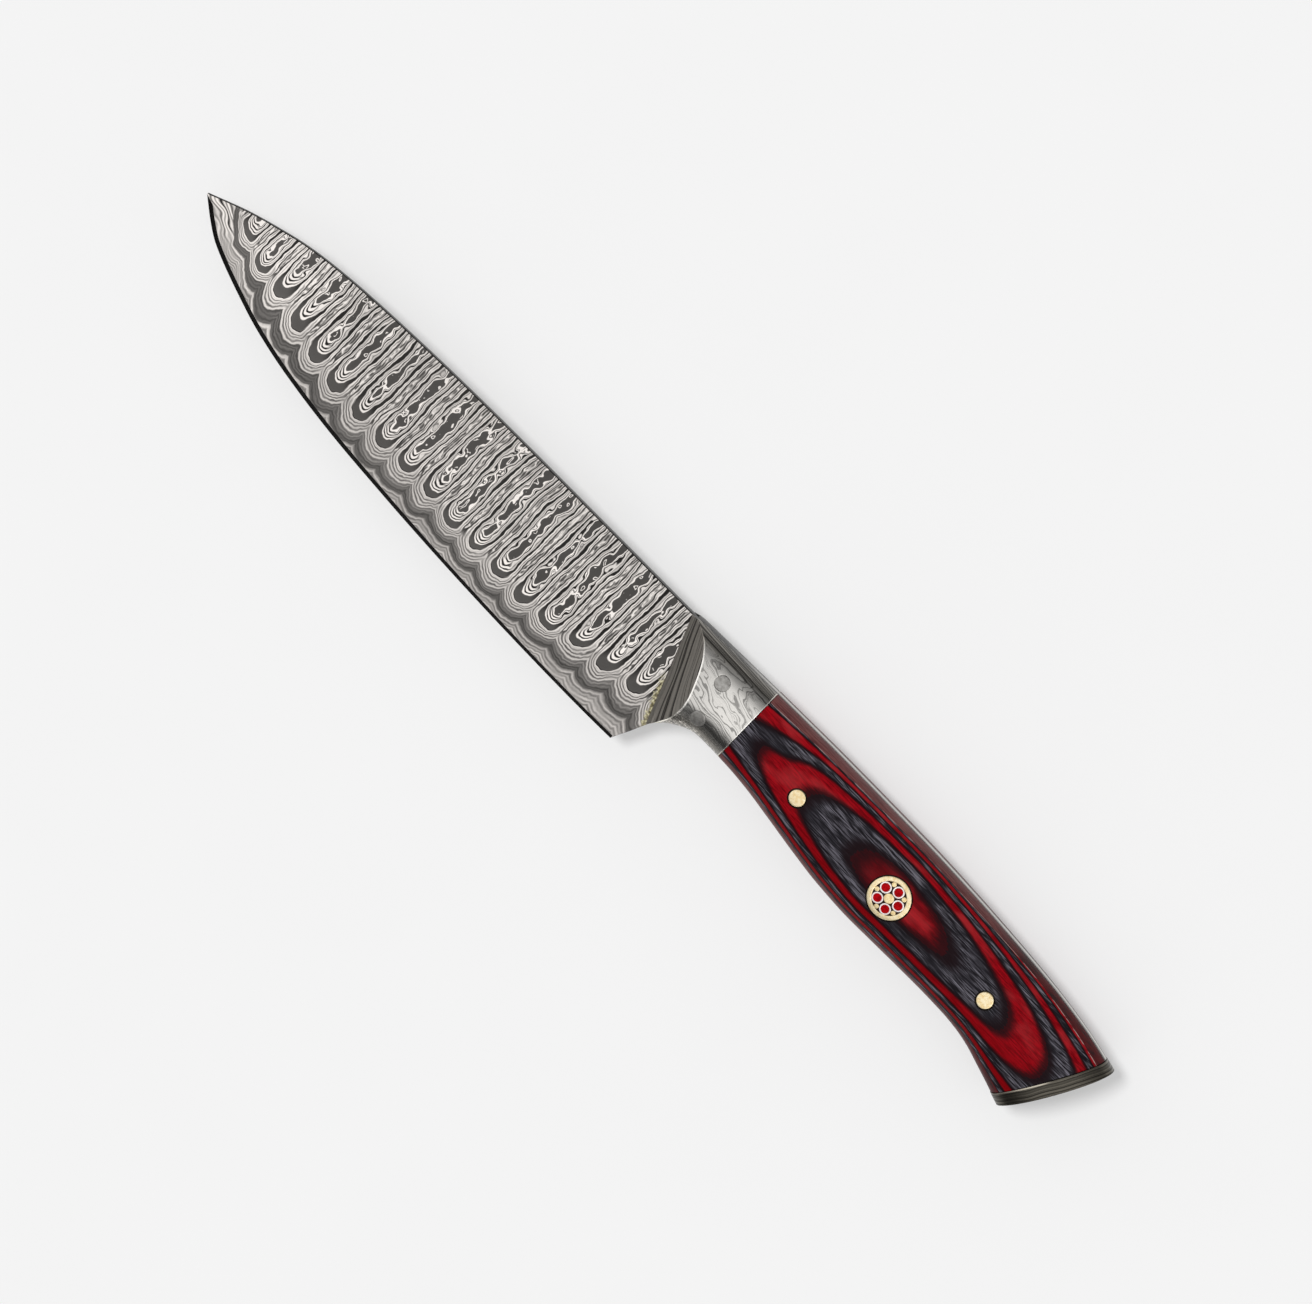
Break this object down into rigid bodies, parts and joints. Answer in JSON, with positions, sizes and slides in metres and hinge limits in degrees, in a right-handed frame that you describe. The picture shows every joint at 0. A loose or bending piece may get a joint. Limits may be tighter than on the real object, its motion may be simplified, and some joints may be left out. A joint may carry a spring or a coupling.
{
  "type": "chef knife",
  "caption": "Full-tang chef knife: pattern-welded blade, ramped half bolsters, red and black laminated wood scales, brass and mosaic pins, and a slanted butt plate.",
  "frame": {"origin": "middle of the knife's box, on the surface it lies on (right side down)", "axes": "+X from the blade tip to the butt, along the straight rear part of the cutting edge; +Y from the cutting edge to the spine; +Z out of the left face, at right angles to the blade's middle plane"},
  "size_m": [0.2792, 0.037, 0.019],
  "materials": {
    "damascus_blade": "etched pattern-welded steel, ladder pattern",
    "damascus_bolster": "etched and polished pattern-welded steel",
    "pin_steel": "satin, peened",
    "laminated_wood": "red and black resin-bonded veneers, polished",
    "brass": "ground flush, light patina",
    "mosaic_steel": "ground flush",
    "red_enamel": "red casting resin, ground flush",
    "dark_resin": "dark casting resin, ground flush"
  },
  "bodies": {
    "root": {"blade": "damascus_blade", "bolster_left": "damascus_bolster", "bolster_right": "damascus_bolster", "bolster_pin_upper": "pin_steel", "bolster_pin_lower": "pin_steel", "scale_left": "laminated_wood", "scale_right": "laminated_wood", "handle_pin_front": "brass", "handle_pin_rear": "brass", "mosaic_tube": "brass", "mosaic_core_rod": "brass", "mosaic_resin": "dark_resin", "end_cap": "damascus_bolster", "mosaic_steel_tube_1": "mosaic_steel", "mosaic_enamel_rod_1": "red_enamel", "mosaic_brass_rod_1": "brass", "mosaic_steel_tube_2": "mosaic_steel", "mosaic_enamel_rod_2": "red_enamel", "mosaic_brass_rod_2": "brass", "mosaic_steel_tube_3": "mosaic_steel", "mosaic_enamel_rod_3": "red_enamel", "mosaic_brass_rod_3": "brass", "mosaic_steel_tube_4": "mosaic_steel", "mosaic_enamel_rod_4": "red_enamel", "mosaic_brass_rod_4": "brass", "mosaic_steel_tube_5": "mosaic_steel", "mosaic_enamel_rod_5": "red_enamel", "mosaic_brass_rod_5": "brass"}
  },
  "joints": []
}
